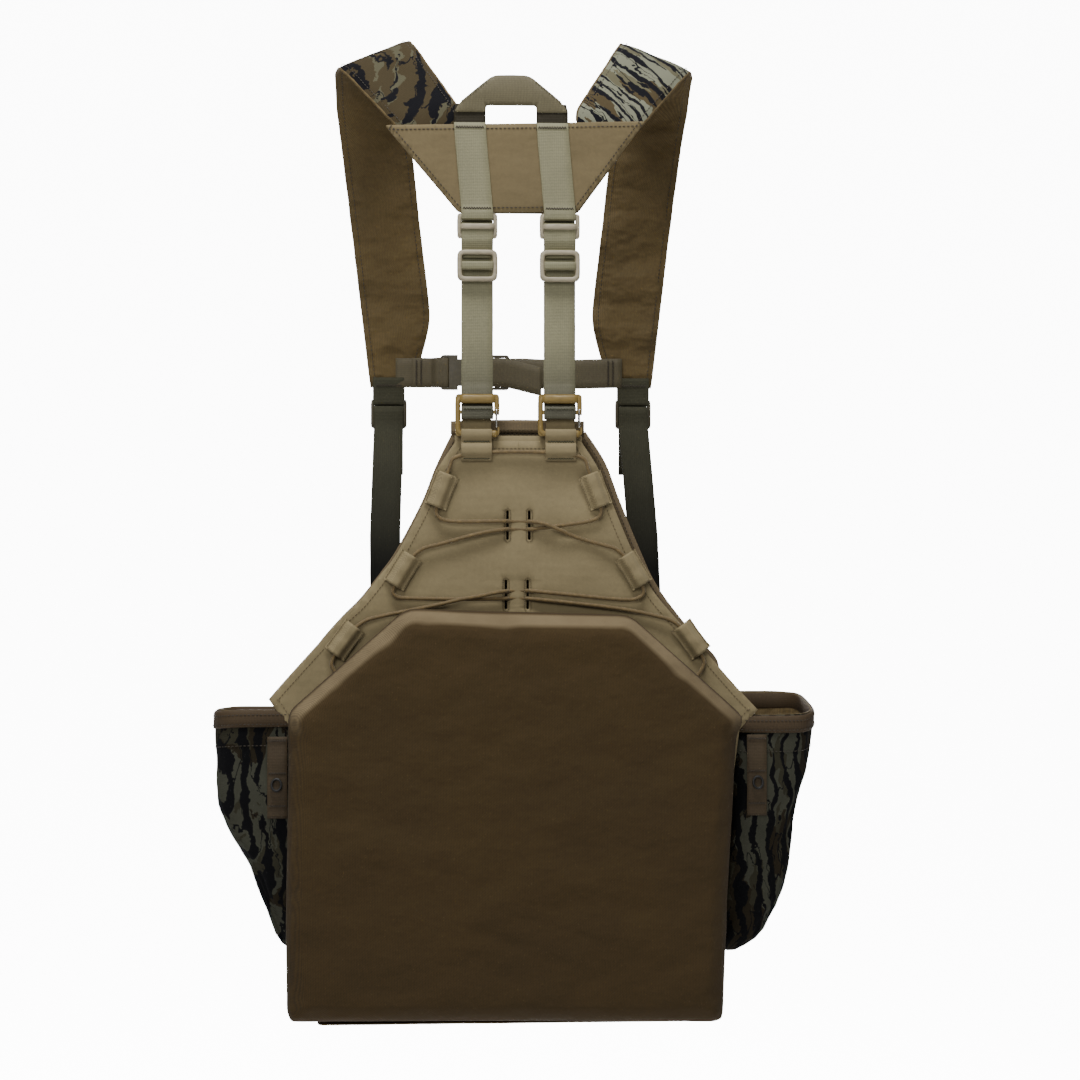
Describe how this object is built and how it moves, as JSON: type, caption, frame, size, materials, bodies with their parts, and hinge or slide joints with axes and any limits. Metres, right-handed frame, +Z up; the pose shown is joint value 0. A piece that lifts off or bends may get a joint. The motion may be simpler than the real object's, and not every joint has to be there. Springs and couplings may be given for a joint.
{
  "type": "hunting vest",
  "caption": "Hunting vest with padded shoulder straps, laced back panel, gated hooks, sternum buckle, hip pockets and a padded seat that folds down.",
  "frame": {"origin": "where a peg carries the haul handle, under the middle of its grip", "axes": "+X to the right seen from behind the wearer, +Y towards the wearer's chest, +Z up along the vest's height"},
  "size_m": [0.4886, 0.195, 0.8049],
  "materials": {
    "tan_fabric": "tightly woven coated nylon, matt",
    "mesh": "brown knitted mesh",
    "brown_twill": "brown brushed twill, matt",
    "foam": "closed-cell foam",
    "camo_fabric": "printed bark-coloured twill, matt",
    "handle_webbing": "ribbed olive nylon webbing",
    "grey_green_webbing": "grey-green nylon webbing",
    "brown_webbing": "brown nylon webbing",
    "moulded_buckle": "moulded plastic, satin",
    "tan_hook_plastic": "moulded plastic, satin",
    "gate_steel": "bent wire, polished",
    "elastic_cord": "braided elastic cord",
    "seat_fabric": "dark brown woven nylon, matt",
    "magnet_steel": "plated magnet"
  },
  "bodies": {
    "vest": {"adjuster_webbing_left": "grey_green_webbing", "adjuster_webbing_right": "grey_green_webbing", "anchor_tabs": "grey_green_webbing", "back_strap_left": "grey_green_webbing", "back_strap_right": "grey_green_webbing", "cord_knots": "elastic_cord", "cord_loops": "tan_fabric", "game_bag_gusset": "brown_twill", "gated_hook_left": "tan_hook_plastic", "gated_hook_right": "tan_hook_plastic", "haul_handle": "handle_webbing", "hip_pocket_left": "camo_fabric", "hip_pocket_right": "camo_fabric", "lacing_cord": "elastic_cord", "mesh_back_panel": "mesh", "outer_back_panel": "tan_fabric", "pad_tabs": "brown_webbing", "panel_magnets": "magnet_steel", "panel_top_binding": "brown_twill", "panel_top_webbing": "grey_green_webbing", "pocket_binding_left": "brown_twill", "pocket_binding_right": "brown_twill", "pocket_tabs": "brown_webbing", "seat_hem": "tan_fabric", "side_webbing_left": "brown_webbing", "side_webbing_right": "brown_webbing", "sternum_female_buckle": "moulded_buckle", "sternum_webbing_left": "brown_webbing", "sternum_webbing_right": "brown_webbing", "strap_foam_left": "foam", "strap_foam_right": "foam", "strap_lining_left": "brown_twill", "strap_lining_right": "brown_twill", "strap_shell_left": "camo_fabric", "strap_shell_right": "camo_fabric", "upper_buckles": "moulded_buckle", "yoke_lining": "brown_twill", "yoke_pad": "foam", "yoke_panel": "tan_fabric", "yoke_webbing": "grey_green_webbing"},
    "seat": {"seat_cover": "seat_fabric", "seat_foam": "foam", "seat_magnets": "magnet_steel"},
    "gate_left": {"wire_gate_left": "gate_steel"},
    "gate_right": {"wire_gate_right": "gate_steel"},
    "glide_left": {"triglide_left": "moulded_buckle", "glide_wrap_left": "grey_green_webbing"},
    "glide_right": {"triglide_right": "moulded_buckle", "glide_wrap_right": "grey_green_webbing"},
    "lock_left": {"ladder_lock_left": "moulded_buckle", "lock_tail_left": "brown_webbing"},
    "lock_right": {"ladder_lock_right": "moulded_buckle", "lock_tail_right": "brown_webbing"},
    "sternum_male": {"sternum_male_buckle": "moulded_buckle", "sternum_tail": "brown_webbing"},
    "prong_upper": {"sternum_prong_upper": "moulded_buckle"},
    "prong_lower": {"sternum_prong_lower": "moulded_buckle"}
  },
  "joints": [
    {"name": "seat_fold", "type": "hinge", "parent": "vest", "child": "seat", "pos_m": [0, -0.005, -0.7325], "axis": [1, 0, 0], "range_deg": [0, 180]},
    {"name": "gate_left_swing", "type": "hinge", "parent": "vest", "child": "gate_left", "pos_m": [-0.0178, -0.003, -0.2425], "axis": [0, 1, 0], "range_deg": [0, 12], "stiffness_Nm_per_rad": 0.02, "springref_deg": -17.19},
    {"name": "gate_right_swing", "type": "hinge", "parent": "vest", "child": "gate_right", "pos_m": [0.0482, -0.003, -0.2425], "axis": [0, 1, 0], "range_deg": [0, 12], "stiffness_Nm_per_rad": 0.02, "springref_deg": -17.19},
    {"name": "glide_left_slide", "type": "slide", "parent": "vest", "child": "glide_left", "axis": [0, 0, -1], "range_m": [0, 0.055], "deforming": ["adjuster_webbing_left"]},
    {"name": "glide_right_slide", "type": "slide", "parent": "vest", "child": "glide_right", "axis": [0, 0, -1], "range_m": [0, 0.055], "deforming": ["adjuster_webbing_right"]},
    {"name": "lock_left_tilt", "type": "hinge", "parent": "vest", "child": "lock_left", "pos_m": [-0.106, 0.14975, -0.2268], "axis": [1, 0, 0], "range_deg": [0, 30]},
    {"name": "lock_right_tilt", "type": "hinge", "parent": "vest", "child": "lock_right", "pos_m": [0.106, 0.14975, -0.2268], "axis": [1, 0, 0], "range_deg": [0, 30]},
    {"name": "sternum_release", "type": "slide", "parent": "vest", "child": "sternum_male", "axis": [1, 0, 0], "range_m": [0, 0.024]},
    {"name": "prong_upper_squeeze", "type": "hinge", "parent": "sternum_male", "child": "prong_upper", "pos_m": [-0.0275, 0.1406, -0.1934], "axis": [0, -1, 0], "range_deg": [0, 6], "stiffness_Nm_per_rad": 0.05},
    {"name": "prong_lower_squeeze", "type": "hinge", "parent": "sternum_male", "child": "prong_lower", "pos_m": [-0.0275, 0.1406, -0.2106], "axis": [0, 1, 0], "range_deg": [0, 6], "stiffness_Nm_per_rad": 0.05}
  ],
  "couplings": [
    {"joint": "prong_lower_squeeze", "follows": "prong_upper_squeeze", "ratio": 1}
  ]
}
